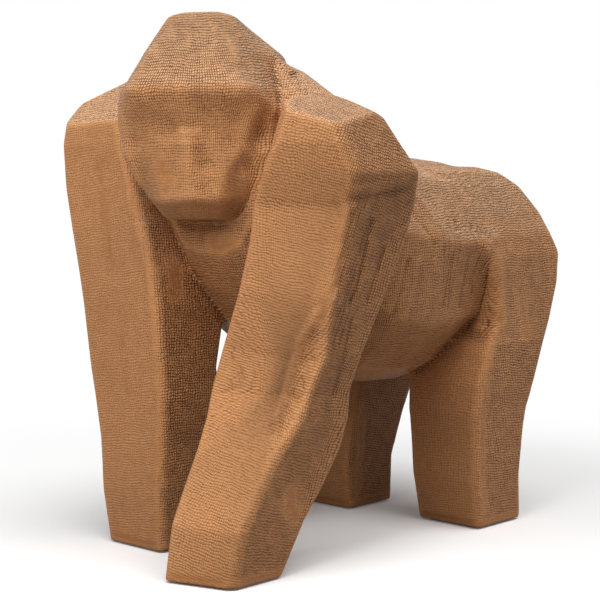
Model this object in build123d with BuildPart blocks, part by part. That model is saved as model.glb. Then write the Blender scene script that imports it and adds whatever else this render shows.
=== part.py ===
"""A walking gorilla figurine, cast in six pieces that are pinned and bonded together.

Millimetres. +Z is up, the chest faces -Y, the figure's own left is +X. The origin lies on
the floor, in the middle of the figure's length and width.
"""

import os
from math import cos, radians, sin, sqrt

from build123d import *

# Overall sizes, which the tables of shares follow
shoulder_height = 250.0  # floor to the top of the shoulders
shoulder_reach = 100.0  # midline to the outer side of the upper arm
spine_length = 150.0  # shoulder line to hip line
crown_height = 298.0  # floor to the flat crown of the head
back_height = 218.0  # floor to the flat of the back
belly_height = 88.0  # floor to the lowest line of the belly
flank_reach = 78.0  # midline to the widest line of the flank
hip_reach = 75.0  # midline to the outer side of the haunch
length_middle = 12.5  # shifts the figure so that its length is centred on the origin

# Arms
arm_width = 60.0
arm_depth = 52.0
arm_bevel = 3.0
left_arm_turn = 6.0  # half of what the left arm's front face turns outwards across its width

# Legs
leg_width = 47.0
leg_depth = 47.0
leg_bevel = 2.0

# Head
head_turn = 29.0  # degrees, towards the figure's left
head_seat = 78.0  # shoulder line's middle to the axis on which the head turns
head_width = 86.0
head_depth = 76.0
head_height = 111.0

# Bonded joints
neck_setback = 35.0  # the head's axis to the flat neck joint behind it
shoulder_joint_foot = 18.0  # midline to a shoulder joint's face at its low end
shoulder_joint_low = 120.0  # floor to that low end
shoulder_joint_lean = 0.26  # outwards for each millimetre up
shoulder_joint_back_share = -0.113  # of the spine, to the upright face behind an arm
hip_height = 112.0  # the level cut between haunch and leg
hip_inset = 14.0  # midline to the inner side of a leg casting
hip_joint_front_share = 0.40  # of the spine, to the upright face before a leg casting
wall = 9.0  # of the hollow torso
cavity_first, cavity_last = 3, 8  # the torso's stations between which the cavity runs
dowel_radius = 4.0
dowel_length = 36.0
dowel_chamfer = 0.8
dowel_clearance = 0.15
dowel_end_clearance = 0.5
neck_dowel_shares = (("neck_dowel_lower", 0.25), ("neck_dowel_upper", 0.62))  # of the head's height
shoulder_dowel_headroom = 13.0  # from the chin's level down to the upper dowel of a shoulder
shoulder_dowel_shares = (  # along the spine, then up from the joint's low end to the upper dowel
    ("shoulder_dowel_lower", -0.24, 0.52),
    ("shoulder_dowel_upper", -0.30, 1.00),
)
hip_dowel_shares = (("hip_dowel_front", -0.20), ("hip_dowel_rear", 0.20))  # of the leg's depth
pour_hole_share = 0.2  # of the spine
pour_hole_radius = 14.0
plug_clearance = 0.2
plug_rim_width = 4.0
plug_rim_depth = 5.0
plug_rim_thickness = 3.0
plug_neck_length = 6.0

# Feet
pad_thickness = 1.0
pad_inset = 4.0
pad_corner = 5.0

overrun = 400.0  # how far a cutting solid runs past what it cuts

os.makedirs("parts", exist_ok=True)

# Each row of a limb: height, place across, place along, width and depth. An arm's heights and
# places across follow the shoulder, a leg's the back and the hip, and places along follow the
# spine. Widths and depths are shares of the limb's own.
left_arm_shares = (
    (0.000, 0.425, -0.693, 0.68, 0.86),
    (0.120, 0.448, -0.630, 0.72, 1.06),
    (0.185, 0.455, -0.563, 0.77, 1.12),
    (0.265, 0.475, -0.497, 0.83, 1.12),
    (0.330, 0.475, -0.455, 0.95, 0.95),
    (0.390, 0.465, -0.430, 1.05, 0.78),
    (0.470, 0.512, -0.405, 1.08, 0.77),
    (0.600, 0.610, -0.366, 0.97, 1.01),
    (0.710, 0.660, -0.323, 0.96, 1.14),
    (0.785, 0.690, -0.313, 1.02, 1.14),
    (0.850, 0.780, -0.345, 0.94, 1.14),
    (0.910, 0.782, -0.398, 0.78, 1.04),
    (1.040, 0.760, -0.473, 0.50, 0.69),
)
right_arm_shares = (
    (0.000, 0.455, -0.457, 0.78, 0.90),
    (0.120, 0.490, -0.440, 0.87, 1.00),
    (0.240, 0.505, -0.430, 0.92, 1.02),
    (0.340, 0.525, -0.443, 1.02, 0.94),
    (0.400, 0.548, -0.455, 1.06, 0.87),
    (0.550, 0.588, -0.424, 1.13, 1.05),
    (0.630, 0.625, -0.403, 1.15, 1.17),
    (0.720, 0.690, -0.387, 1.10, 1.28),
    (0.815, 0.762, -0.377, 1.03, 1.34),
    (0.915, 0.810, -0.407, 0.90, 1.20),
    (1.080, 0.815, -0.443, 0.72, 0.83),
)
left_leg_shares = (
    (0.000, 0.655, 0.655, 0.99, 0.93),
    (0.138, 0.648, 0.633, 1.03, 1.01),
    (0.264, 0.648, 0.637, 1.08, 1.08),
    (0.321, 0.637, 0.648, 1.12, 1.14),
    (0.396, 0.630, 0.682, 1.18, 1.23),
    (0.482, 0.609, 0.731, 1.25, 1.25),
    (0.562, 0.590, 0.790, 1.30, 1.22),
    (0.665, 0.567, 0.813, 1.38, 1.40),
    (0.751, 0.553, 0.797, 1.43, 1.55),
    (0.803, 0.537, 0.766, 1.37, 1.53),
    (0.866, 0.493, 0.738, 1.23, 1.56),
    (0.940, 0.427, 0.696, 1.02, 1.47),
    (0.977, 0.373, 0.650, 0.85, 1.35),
    (0.993, 0.333, 0.586, 0.72, 1.08),
)
right_leg_shares = (
    (0.000, 0.558, 0.577, 0.92, 0.89),
    (0.138, 0.567, 0.574, 0.95, 0.96),
    (0.264, 0.561, 0.603, 1.06, 1.08),
    (0.321, 0.569, 0.629, 1.12, 1.14),
    (0.396, 0.587, 0.677, 1.19, 1.24),
    (0.482, 0.593, 0.734, 1.26, 1.26),
    (0.562, 0.590, 0.790, 1.30, 1.22),
    (0.665, 0.567, 0.813, 1.38, 1.40),
    (0.751, 0.553, 0.797, 1.43, 1.55),
    (0.803, 0.537, 0.766, 1.37, 1.53),
    (0.866, 0.493, 0.738, 1.23, 1.56),
    (0.940, 0.427, 0.696, 1.02, 1.47),
    (0.977, 0.373, 0.650, 0.85, 1.35),
    (0.993, 0.333, 0.586, 0.72, 1.08),
)

# The torso's stations from chest to rump: the place along the spine, then the corners of one half,
# lowest first, each as a share of the flank's reach and of the height from the belly to the back.
torso_shares = (
    (-0.50, (0.12, 0.62), (0.28, 0.65), (0.44, 0.78), (0.52, 0.97), (0.48, 1.17), (0.20, 1.30)),
    (-0.39, (0.15, 0.45), (0.36, 0.50), (0.56, 0.66), (0.74, 0.97), (0.70, 1.25), (0.34, 1.45)),
    (-0.20, (0.22, 0.19), (0.50, 0.26), (0.84, 0.48), (1.00, 0.82), (0.82, 1.22), (0.36, 1.385)),
    (0.00, (0.26, 0.05), (0.58, 0.11), (0.92, 0.33), (1.02, 0.71), (0.80, 1.00), (0.30, 1.30)),
    (0.20, (0.28, 0.01), (0.60, 0.08), (0.93, 0.29), (1.00, 0.67), (0.74, 0.94), (0.34, 1.13)),
    (0.40, (0.26, 0.00), (0.54, 0.08), (0.86, 0.29), (0.97, 0.65), (0.71, 0.92), (0.38, 1.03)),
    (0.60, (0.22, 0.03), (0.44, 0.12), (0.78, 0.33), (0.95, 0.65), (0.69, 0.91), (0.40, 1.01)),
    (0.75, (0.22, 0.15), (0.42, 0.19), (0.78, 0.36), (0.92, 0.63), (0.66, 0.88), (0.40, 0.98)),
    (0.89, (0.20, 0.33), (0.42, 0.35), (0.82, 0.46), (0.84, 0.60), (0.66, 0.78), (0.30, 0.85)),
    (1.02, (0.16, 0.45), (0.36, 0.46), (0.62, 0.52), (0.62, 0.60), (0.50, 0.65), (0.24, 0.69)),
)

# The head's levels from chin to crown: the height as a share of the head's height above its chin,
# then the middle of the face and the corners of one half, each as shares of half the head's width
# and of its depth forwards from the axis on which it turns.
head_shares = (
    (0.00, 0.21, (0.31, 0.18), (0.53, 0.02), (0.56, -0.35), (0.30, -0.52)),
    (0.10, 0.41, (0.38, 0.34), (0.66, 0.16), (0.70, -0.33), (0.40, -0.60)),
    (0.32, 0.42, (0.40, 0.36), (0.98, 0.24), (1.00, -0.30), (0.55, -0.72)),
    (0.38, 0.44, (0.42, 0.36), (0.99, 0.24), (1.02, -0.28), (0.60, -0.76)),
    (0.43, 0.36, (0.68, 0.34), (1.01, 0.24), (1.04, -0.26), (0.62, -0.78)),
    (0.53, 0.42, (0.76, 0.40), (1.02, 0.24), (1.06, -0.26), (0.64, -0.80)),
    (0.61, 0.50, (0.74, 0.49), (0.98, 0.24), (1.08, -0.30), (0.64, -0.80)),
    (0.80, 0.34, (0.57, 0.33), (0.80, 0.05), (0.90, -0.33), (0.42, -0.50)),
    (0.98, 0.165, (0.39, 0.16), (0.41, 0.00), (0.36, -0.10), (0.20, -0.18)),
    (1.00, 0.11, (0.22, 0.11), (0.24, 0.00), (0.20, -0.06), (0.10, -0.12)),
)

# The flat cuts across the shoulders, the last of the left ones to make room for the cheek beside it.
# Each is a place (across, along and up, as shares of the reach, the spine and the shoulder height)
# and the direction that the cut faces.
left_shoulder_cut_shares = (
    ((0.70, -0.600, 0.977), (0.317, -0.182, 0.931)),
    ((0.965, -0.327, 0.972), (0.34, 0.34, 0.88)),
    ((0.47, -0.486, 0.960), (-0.546, -0.787, 0.285)),
)
right_shoulder_cut_shares = (
    ((0.85, -0.593, 0.972), (0.02, -0.73, 0.69)),
    ((0.97, -0.493, 1.026), (0.40, 0.00, 0.92)),
)


def along(share):
    """A place along the figure, from a share of the spine."""
    return share * spine_length - length_middle


def bevelled(corners, cut):
    """The corners of an outline, each cut off to leave two."""
    ring = []
    count = len(corners)
    for index, (x, y) in enumerate(corners):
        for other in (corners[index - 1], corners[(index + 1) % count]):
            reach = sqrt((other[0] - x) ** 2 + (other[1] - y) ** 2)
            ring.append((x + (other[0] - x) * cut / reach, y + (other[1] - y) * cut / reach))
    return ring


def limb_levels(rows, side, top, reach, width, depth, bevel, turn=0.0):
    """The levels of one limb, each as its height and its cornered outline."""
    levels = []
    for height, across, place, wide, deep in rows:
        x = side * across * reach
        y = along(place)
        half_w = side * wide * width / 2
        half_d = deep * depth / 2
        corners = [
            (x - half_w, y - half_d - turn),
            (x + half_w, y - half_d + turn),
            (x + half_w, y + half_d),
            (x - half_w, y + half_d),
        ]
        levels.append((max(height * top, pad_thickness), bevelled(corners, bevel)))
    return levels


def limb_section(rows, share):
    """The row of a limb at a share of its height, between the rows of its table."""
    for low, high in zip(rows, rows[1:]):
        if low[0] <= share <= high[0]:
            between = (share - low[0]) / (high[0] - low[0])
            return [start + (end - start) * between for start, end in zip(low, high)]


def shoulder_cut(side, place, facing):
    """One sloping plane that cuts a shoulder flat."""
    x, y, z = place
    origin = (side * x * shoulder_reach, along(y), z * shoulder_height)
    return Plane(origin=origin, z_dir=(side * facing[0], facing[1], facing[2]))


def torso_outline(corners):
    """The closed outline of one torso station, from the corners of its half, lowest first."""
    rise = back_height - belly_height
    half = [(x * flank_reach, belly_height + z * rise) for x, z in corners]
    return half + [(-x, z) for x, z in reversed(half)]


# What the two arms share, and the two legs
arm_sizes = (shoulder_height, shoulder_reach, arm_width, arm_depth)
leg_sizes = (back_height, hip_reach, leg_width, leg_depth)

# The forms from which the castings are cut
with BuildPart() as left_arm_form:
    for height, outline in limb_levels(left_arm_shares, 1, *arm_sizes, arm_bevel, left_arm_turn):
        with BuildSketch(Plane.XY.offset(height)):
            with BuildLine():
                Polyline(*outline, close=True)
            make_face()
    loft(ruled=True)
    for place, facing in left_shoulder_cut_shares:
        split(bisect_by=shoulder_cut(1, place, facing), keep=Keep.BOTTOM)

with BuildPart() as right_arm_form:
    for height, outline in limb_levels(right_arm_shares, -1, *arm_sizes, arm_bevel):
        with BuildSketch(Plane.XY.offset(height)):
            with BuildLine():
                Polyline(*outline, close=True)
            make_face()
    loft(ruled=True)
    for place, facing in right_shoulder_cut_shares:
        split(bisect_by=shoulder_cut(-1, place, facing), keep=Keep.BOTTOM)

with BuildPart() as left_leg_form:
    for height, outline in limb_levels(left_leg_shares, 1, *leg_sizes, leg_bevel):
        with BuildSketch(Plane.XY.offset(height)):
            with BuildLine():
                Polyline(*outline, close=True)
            make_face()
    loft(ruled=True)

with BuildPart() as right_leg_form:
    for height, outline in limb_levels(right_leg_shares, -1, *leg_sizes, leg_bevel):
        with BuildSketch(Plane.XY.offset(height)):
            with BuildLine():
                Polyline(*outline, close=True)
            make_face()
    loft(ruled=True)

with BuildPart() as torso_form:
    for place, *corners in torso_shares:
        with BuildSketch(Plane.XZ.offset(-along(place))):
            with BuildLine():
                Polyline(*torso_outline(corners), close=True)
            make_face()
    loft(ruled=True)

chin_height = crown_height - head_height
head_axis = Vector(0, along(0) - head_seat, chin_height)
head_left = Vector(cos(radians(head_turn)), sin(radians(head_turn)), 0)
head_forward = Vector(sin(radians(head_turn)), -cos(radians(head_turn)), 0)


def head_level(share):
    """The level plane of the head at a share of its height, with X to its left, Y backwards."""
    origin = head_axis + Vector(0, 0, share * head_height)
    return Plane(origin=origin, x_dir=head_left, z_dir=(0, 0, 1))


with BuildPart() as head_form:
    for share, face, *corners in head_shares:
        half = [(x * head_width / 2, -y * head_depth) for x, y in corners]
        with BuildSketch(head_level(share)):
            with BuildLine():
                Polyline(
                    (0, -face * head_depth),
                    *half,
                    *[(-x, y) for x, y in reversed(half)],
                    close=True,
                )
            make_face()
    loft(ruled=True)

# The head casting, cut off behind by the flat neck joint
neck_joint = Plane(
    origin=head_axis - head_forward * neck_setback, x_dir=head_left, z_dir=head_forward
)
with BuildPart() as head_block:
    add(head_form.part)
    split(bisect_by=neck_joint, keep=Keep.TOP)

with BuildPart() as neck_block:
    add(head_form.part)
    split(bisect_by=neck_joint, keep=Keep.BOTTOM)

# The two arm spaces, each bounded by a sloping face inside and an upright face behind
shoulder_joint_back = along(shoulder_joint_back_share)
arm_space_levels = (
    (-overrun, shoulder_joint_foot - (overrun + shoulder_joint_low) * shoulder_joint_lean),
    (overrun, shoulder_joint_foot + (overrun - shoulder_joint_low) * shoulder_joint_lean),
)
arm_spaces = []
for side in (1, -1):
    with BuildPart() as arm_space:
        for height, inner in arm_space_levels:
            with BuildSketch(Plane.XY.offset(height)):
                with BuildLine():
                    Polyline(
                        (side * inner, -overrun),
                        (side * overrun, -overrun),
                        (side * overrun, shoulder_joint_back),
                        (side * inner, shoulder_joint_back),
                        close=True,
                    )
                make_face()
        loft(ruled=True)
    arm_spaces.append(arm_space.part)

# The two leg spaces
hip_joint_front = along(hip_joint_front_share)
leg_spaces = []
for side in (1, -1):
    with BuildPart() as leg_space:
        with BuildSketch(Plane.XY.offset(hip_height)):
            with Locations((side * (hip_inset + overrun / 2), hip_joint_front + overrun / 2)):
                Rectangle(overrun, overrun)
        extrude(amount=-overrun)
    leg_spaces.append(leg_space.part)

# The body before it is divided: torso, arms, haunches and the neck behind the head's joint
with BuildPart() as body_form:
    add(torso_form.part)
    add(left_leg_form.part)
    add(right_leg_form.part)
    add(left_arm_form.part)
    add(right_arm_form.part)
    add(neck_block.part)

# Places of the dowels, each with the plane whose Z runs along it
head_dowel_planes = []
for name, height_share in neck_dowel_shares:
    origin = neck_joint.origin + Vector(0, 0, height_share * head_height)
    head_dowel_planes.append((name, Plane(origin=origin, z_dir=head_forward)))

shoulder_dowel_planes = {1: [], -1: []}
shoulder_dowel_rise = chin_height - shoulder_dowel_headroom - shoulder_joint_low
for side, side_name in ((1, "left"), (-1, "right")):
    facing = (side, 0, -shoulder_joint_lean)
    for name, along_share, rise_share in shoulder_dowel_shares:
        height = shoulder_joint_low + rise_share * shoulder_dowel_rise
        inner = shoulder_joint_foot + rise_share * shoulder_dowel_rise * shoulder_joint_lean
        plane = Plane(origin=(side * inner, along(along_share), height), z_dir=facing)
        shoulder_dowel_planes[side].append((f"{side_name}_{name}", plane))

# A hip's dowels follow the middle of the leg at half the depth of their bores
hip_dowel_planes = {1: [], -1: []}
hip_dowel_level_share = (hip_height - dowel_length / 4) / back_height
for side, side_name, rows in ((1, "left", left_leg_shares), (-1, "right", right_leg_shares)):
    _, across, place, _, deep = limb_section(rows, hip_dowel_level_share)
    for name, depth_share in hip_dowel_shares:
        y = along(place) + depth_share * deep * leg_depth
        origin = (side * across * hip_reach, y, hip_height)
        hip_dowel_planes[side].append((f"{side_name}_{name}", Plane(origin=origin)))

dowel_bore = dowel_radius + dowel_clearance
bore_length = dowel_length + 2 * dowel_end_clearance

# Head casting
with BuildPart() as head_casting:
    add(head_block.part)
    for _, plane in head_dowel_planes:
        with BuildSketch(plane):
            Circle(dowel_bore)
        extrude(amount=bore_length / 2, both=True, mode=Mode.SUBTRACT)
head_casting.part.label = "head_casting"

# Arm castings, cut from the body by their spaces and notched where the head stands
arm_castings = {}
for side, side_name, space in ((1, "left", arm_spaces[0]), (-1, "right", arm_spaces[1])):
    with BuildPart() as arm_casting:
        add(body_form.part)
        add(space, mode=Mode.INTERSECT)
        add(head_block.part, mode=Mode.SUBTRACT)
        for _, plane in shoulder_dowel_planes[side]:
            with BuildSketch(plane):
                Circle(dowel_bore)
            extrude(amount=bore_length / 2, both=True, mode=Mode.SUBTRACT)
    arm_casting.part.label = f"{side_name}_arm_casting"
    arm_castings[side_name] = arm_casting.part

# Leg castings, below the level hip joints
leg_castings = {}
for side, side_name, space in ((1, "left", leg_spaces[0]), (-1, "right", leg_spaces[1])):
    with BuildPart() as leg_casting:
        add(body_form.part)
        add(space, mode=Mode.INTERSECT)
        for _, plane in hip_dowel_planes[side]:
            with BuildSketch(plane):
                Circle(dowel_bore)
            extrude(amount=-bore_length / 2, mode=Mode.SUBTRACT)
    leg_casting.part.label = f"{side_name}_leg_casting"
    leg_castings[side_name] = leg_casting.part

# The cavity that slush casting leaves in the torso: its own outline less the wall, kept clear of
# the hip joints and their dowels
hip_boss_top = hip_height + dowel_length / 2 + wall
with BuildPart() as torso_cavity:
    for place, *corners in torso_shares[cavity_first:cavity_last]:
        with BuildSketch(Plane.XZ.offset(-along(place))):
            with BuildLine():
                Polyline(*torso_outline(corners), close=True)
            make_face()
            offset(amount=-wall, kind=Kind.INTERSECTION)
    loft(ruled=True)
    with BuildSketch(Plane.XY.offset(hip_boss_top)):
        with Locations((0, hip_joint_front - wall + overrun / 2)):
            Rectangle(overrun, overrun)
    extrude(amount=-overrun, mode=Mode.SUBTRACT)

# The torso casting, with its seats for the other five castings and the pour hole under the belly
pour_hole_place = (0, along(pour_hole_share))
plug_seat = belly_height + plug_rim_depth
with BuildPart() as torso_casting:
    add(body_form.part)
    for space in arm_spaces + leg_spaces:
        add(space, mode=Mode.SUBTRACT)
    add(head_block.part, mode=Mode.SUBTRACT)
    add(torso_cavity.part, mode=Mode.SUBTRACT)
    with BuildSketch(Plane.XY.offset(plug_seat)):
        with Locations(pour_hole_place):
            Circle(pour_hole_radius + plug_rim_width)
    extrude(amount=-plug_rim_depth - wall, mode=Mode.SUBTRACT)
    with BuildSketch(Plane.XY.offset(plug_seat)):
        with Locations(pour_hole_place):
            Circle(pour_hole_radius)
    extrude(amount=2 * wall, mode=Mode.SUBTRACT)
    for _, plane in head_dowel_planes + shoulder_dowel_planes[1] + shoulder_dowel_planes[-1]:
        with BuildSketch(plane):
            Circle(dowel_bore)
        extrude(amount=bore_length / 2, both=True, mode=Mode.SUBTRACT)
    for _, plane in hip_dowel_planes[1] + hip_dowel_planes[-1]:
        with BuildSketch(plane):
            Circle(dowel_bore)
        extrude(amount=bore_length / 2, mode=Mode.SUBTRACT)
torso_casting.part.label = "torso_casting"

# The plug that closes the pour hole, its rim up against the seat
with BuildPart() as pour_hole_plug:
    with BuildSketch(Plane.XY.offset(plug_seat)):
        with Locations(pour_hole_place):
            Circle(pour_hole_radius + plug_rim_width - plug_clearance)
    extrude(amount=-plug_rim_thickness)
    with BuildSketch(Plane.XY.offset(plug_seat)):
        with Locations(pour_hole_place):
            Circle(pour_hole_radius - plug_clearance)
    extrude(amount=plug_neck_length)
pour_hole_plug.part.label = "pour_hole_plug"

# Steel dowels across the bonded joints
dowels = []
all_dowel_planes = head_dowel_planes + [
    entry for planes in (shoulder_dowel_planes, hip_dowel_planes) for side in (1, -1)
    for entry in planes[side]
]
for name, plane in all_dowel_planes:
    with BuildPart() as dowel:
        with BuildSketch(plane):
            Circle(dowel_radius)
        extrude(amount=dowel_length / 2, both=True)
        chamfer(dowel.faces().filter_by(GeomType.PLANE).edges(), dowel_chamfer)
    dowel.part.label = name
    dowels.append(dowel.part)

# Felt pads under the hands and feet
pads = []
for name, rows, side, sizes, turn in (
    ("left_hand_pad", left_arm_shares, 1, arm_sizes, left_arm_turn),
    ("right_hand_pad", right_arm_shares, -1, arm_sizes, 0.0),
    ("left_foot_pad", left_leg_shares, 1, leg_sizes, 0.0),
    ("right_foot_pad", right_leg_shares, -1, leg_sizes, 0.0),
):
    _, outline = limb_levels(rows[:1], side, *sizes, pad_corner, turn)[0]
    with BuildPart() as pad:
        with BuildSketch():
            with BuildLine():
                Polyline(*outline, close=True)
            make_face()
            offset(amount=-pad_inset, kind=Kind.INTERSECTION)
        extrude(amount=pad_thickness)
    pad.part.label = name
    pads.append(pad.part)

castings = [head_casting.part, torso_casting.part, *arm_castings.values(), *leg_castings.values()]
for piece in castings + [pour_hole_plug.part] + dowels + pads:
    export_step(piece, f"parts/{piece.label}.step")
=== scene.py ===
"""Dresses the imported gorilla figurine: one cast skin with the imprint of a knitted gauze, cut at the
bonded joints into the head, torso, arms and legs, and the finishes of the small parts inside."""

from math import pi, radians

import bmesh
import bpy
import numpy as np
from bpy.props import FloatProperty, FloatVectorProperty, IntProperty, PointerProperty
from mathutils import Euler, Matrix, Vector
from mathutils.bvhtree import BVHTree


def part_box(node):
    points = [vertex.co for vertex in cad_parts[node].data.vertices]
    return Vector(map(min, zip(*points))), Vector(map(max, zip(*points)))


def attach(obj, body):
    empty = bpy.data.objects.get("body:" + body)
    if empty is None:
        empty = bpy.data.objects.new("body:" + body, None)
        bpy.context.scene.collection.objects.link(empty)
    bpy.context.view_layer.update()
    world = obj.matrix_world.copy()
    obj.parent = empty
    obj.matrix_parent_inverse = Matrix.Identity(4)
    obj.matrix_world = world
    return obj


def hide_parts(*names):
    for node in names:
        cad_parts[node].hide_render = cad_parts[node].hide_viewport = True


bl_info = {
    "name": "Gorilla Figurine",
    "version": (1, 0, 0),
    "blender": (4, 5, 0),
    "location": "View3D > Sidebar > Figurine",
    "description": "Makes the cast skin, small parts and stage of a gorilla figurine",
    "category": "Object",
}

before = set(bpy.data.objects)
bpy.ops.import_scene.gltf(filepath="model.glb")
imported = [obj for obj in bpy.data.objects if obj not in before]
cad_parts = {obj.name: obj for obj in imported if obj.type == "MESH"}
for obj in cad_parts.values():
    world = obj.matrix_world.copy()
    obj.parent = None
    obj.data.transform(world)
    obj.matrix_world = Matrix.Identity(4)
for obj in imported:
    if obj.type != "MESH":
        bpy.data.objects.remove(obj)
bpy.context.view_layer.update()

MM = 0.001
BODY = "root"
BLANK = "skin_blank"
RESIN = "knit_resin"
CLOTH = "cloth"
SIDES = (("left", 1), ("right", -1))
MASKS = ("grid", "imprint", "top", "bloom", "knob", "worn", "furrow", "edge", "crease")

CASTINGS = (
    "head_casting", "torso_casting", "left_arm_casting", "right_arm_casting",
    "left_leg_casting", "right_leg_casting",
)

# Places and sizes on the figure, in millimetres: the floor is at 0 and it walks towards -Y. A reach
# is half of a width or depth, and so are the two sizes of a section
HEAD_TURN = radians(29.0)
HEAD_MIDDLE = np.array((0.0, -90.5, 242.0))
HEAD_REACH = (47.0, 50.0)
HEAD_BASE = 184.0
HEAD_SECTION = (42.0, 40.0)
BROW_LEVELS = (246.0, 254.0)
TRUNK_FRONT = -40.0
TRUNK_BASE = 80.0
TRUNK_REACH = 82.0
TORSO_AXIS = ((0.0, 20.0, 88.0), (0.0, 20.0, 278.0))
TORSO_SECTION = (72.0, 105.0)
ARM_AXES = {
    "left": ((42.5, -116.0, 0.0), (76.0, -66.0, 210.0)),
    "right": ((-45.5, -81.0, 0.0), (-72.0, -71.0, 210.0)),
}
ARM_SECTION = (30.0, 27.0)
LEG_AXES = {
    "left": ((50.0, 87.0, 0.0), (46.0, 97.0, 112.0)),
    "right": ((-42.0, 75.0, 0.0), (-46.0, 97.0, 112.0)),
}
LEG_SECTION = (26.0, 25.0)

# Where the castings part: an arm lies outside a face that leans out from a place at a level
FAR = 400.0
ARM_REAR = -29.45
ARM_PLACE = 18.0
ARM_LEVEL = 120.0
ARM_LEAN = 0.26
LEG_PLACE = 14.0
LEG_FRONT = 47.5
LEG_TOP = 112.0
UNDERFOOT = -50.0
HEAD_MARGIN = 2.0
BORE_CLEARANCE = 0.2
WELD = 0.01
# The stepped seat of the pour hole's plug, as the radius and the height of each step
PLUG_SEATS = ((18.1, 93.1), (14.1, 99.5))
SEAT_SIDES = 64

# The photograph's width in pixels, and the width in millimetres of the sensor behind the lens
PHOTO_SIZE = 600
SENSOR = 36.0
# Folds and worn edges that the photograph shows, each as how far the surface rises (or sinks), how
# far that reaches to both sides, both in millimetres, and the pixels along which it runs
HEAD_FOLDS = (
    (-1.5, 8.0, ((143, 116), (156, 119), (168, 121))),
    (-1.9, 8.0, ((208, 110), (222, 110), (236, 113))),
    (2.4, 11.0, ((136, 108), (165, 113), (190, 115), (215, 112), (246, 103))),
    (1.2, 5.0, ((246, 88), (262, 99), (274, 106))),
    (1.2, 3.2, ((184, 133), (192, 134), (199, 133))),
    (0.6, 4.5, ((189, 150), (188, 170), (188, 194))),
    (-1.9, 5.5, ((198, 142), (203, 162))),
    (-1.2, 6.0, ((172, 146), (170, 170))),
    (1.2, 3.5, ((125, 120), (130, 157), (140, 182), (151, 202))),
    (1.6, 5.0, ((253, 112), (244, 142), (227, 166), (218, 190))),
    (-1.4, 6.0, ((262, 135), (250, 165))),
    (0.9, 3.5, ((158, 201), (190, 198), (226, 200))),
    (2.2, 7.0, ((272, 58), (284, 68))),
)
BODY_FOLDS = (
    (-1.8, 7.0, ((284, 420), (294, 395), (303, 368), (314, 338))),
    (0.8, 2.5, ((276, 415), (287, 378), (298, 342), (318, 312))),
    (0.8, 2.5, ((306, 400), (316, 378), (325, 358), (332, 300))),
    (-0.8, 3.0, ((402, 190), (380, 194), (360, 197), (352, 199))),
    (0.9, 3.5, ((405, 183), (385, 187), (362, 190))),
    (-1.0, 2.2, ((353, 214), (346, 250), (339, 285))),
    (-0.9, 2.0, ((372, 222), (366, 250), (358, 285), (352, 300))),
    (-0.8, 2.0, ((384, 250), (377, 275), (368, 300))),
    (-0.7, 2.0, ((352, 320), (345, 355), (334, 395))),
    (1.4, 5.0, ((416, 196), (428, 212), (440, 228))),
    (-1.4, 4.0, ((414, 212), (424, 226), (436, 242))),
    (-0.8, 2.2, ((456, 222), (451, 262), (444, 305))),
    (-0.8, 2.2, ((472, 226), (468, 262), (460, 306))),
    (1.2, 5.0, ((496, 236), (501, 280), (503, 325))),
    (3.4, 6.0, ((487, 250), (489, 275), (487, 300), (481, 325))),
    (0.8, 3.0, ((417, 262), (412, 290), (404, 318))),
    (-0.9, 2.2, ((408, 262), (402, 290), (394, 316))),
    (0.8, 4.0, ((132, 200), (146, 240), (152, 300), (156, 350))),
)
# The band across the brow and eyes that is smoothed most: its pixels, its reach in millimetres,
# the share of closeness at which it ends, and how many times the soft passes it gets
EYE_BAND = ((132, 103), (190, 103), (245, 97))
EYE_REACH = 18.0
EYE_SHARE = 0.3
EYE_TIMES = 5
# Places where the imprint is worn smooth, and where long furrows run, each as its strength, its
# reach in millimetres and its pixels
WORN = (
    (1.0, 9.0, ((214, 246), (232, 248))),
    (1.0, 9.0, ((290, 498), (294, 515))),
    (0.9, 5.0, ((345, 212), (340, 250), (332, 290), (322, 315))),
    (0.8, 5.0, ((130, 180), (143, 230), (150, 290), (156, 350), (158, 420), (156, 480))),
    (1.0, 9.0, ((174, 265), (174, 290))),
    (0.8, 7.0, ((372, 195), (366, 203))),
    (0.9, 6.0, ((500, 250), (502, 290), (500, 330))),
    (0.8, 9.0, ((522, 300), (526, 330))),
    (0.9, 5.0, ((492, 345), (484, 400), (482, 460), (485, 510))),
    (0.9, 6.0, ((362, 410), (360, 450), (358, 490))),
    (0.9, 9.0, ((160, 165), (166, 185))),
    (0.7, 8.0, ((196, 205), (224, 207))),
    (0.8, 10.0, ((100, 165), (104, 215), (110, 265))),
    (0.7, 10.0, ((120, 310), (128, 400))),
)
FURROWED = (
    (1.0, 13.0, ((362, 215), (352, 270), (340, 330))),
    (0.8, 10.0, ((392, 235), (378, 290))),
    (1.0, 16.0, ((450, 235), (446, 300))),
    (0.9, 14.0, ((478, 235), (470, 310))),
    (0.8, 7.0, ((140, 165), (150, 255))),
    (0.4, 9.0, ((235, 400), (222, 450))),
)

# Where a mask rises from 0 to 1, by how far a face leans towards the mask's side
LEANS = {
    "top": (0.75, 0.9), "head_top": (0.85, 0.95), "bloom": (0.2, 0.6), "front": (0.5, 0.9),
    "side": (0.3, 0.7), "limb_knob": (0.4, 0.8), "torso_knob": (0.3, 0.7), "flank": (0.5, 0.8),
}
# Levels in millimetres: the bare band along the floor ends, and the painted sheen on upper faces
# begins
FOOT_LEVELS = (4.0, 8.0)
PAINTED_SHEEN_LEVELS = (110.0, 180.0)
# How much the wales show beside the rows: 0 is rows alone, and 1 wales alone
GRIDS = {
    "limb": 0.34, "outward_more": 0.2, "inward_more": 0.26, "torso": 0.34, "face": 0.68,
    "brow_less": 0.18,
}
# How deep the gauze pressed: on a limb it fades in the foot's band and in front
IMPRINTS = {"foot": 0.25, "front_less": 0.4, "torso": 0.85, "face": 0.68, "brow_more": 0.3}
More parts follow.
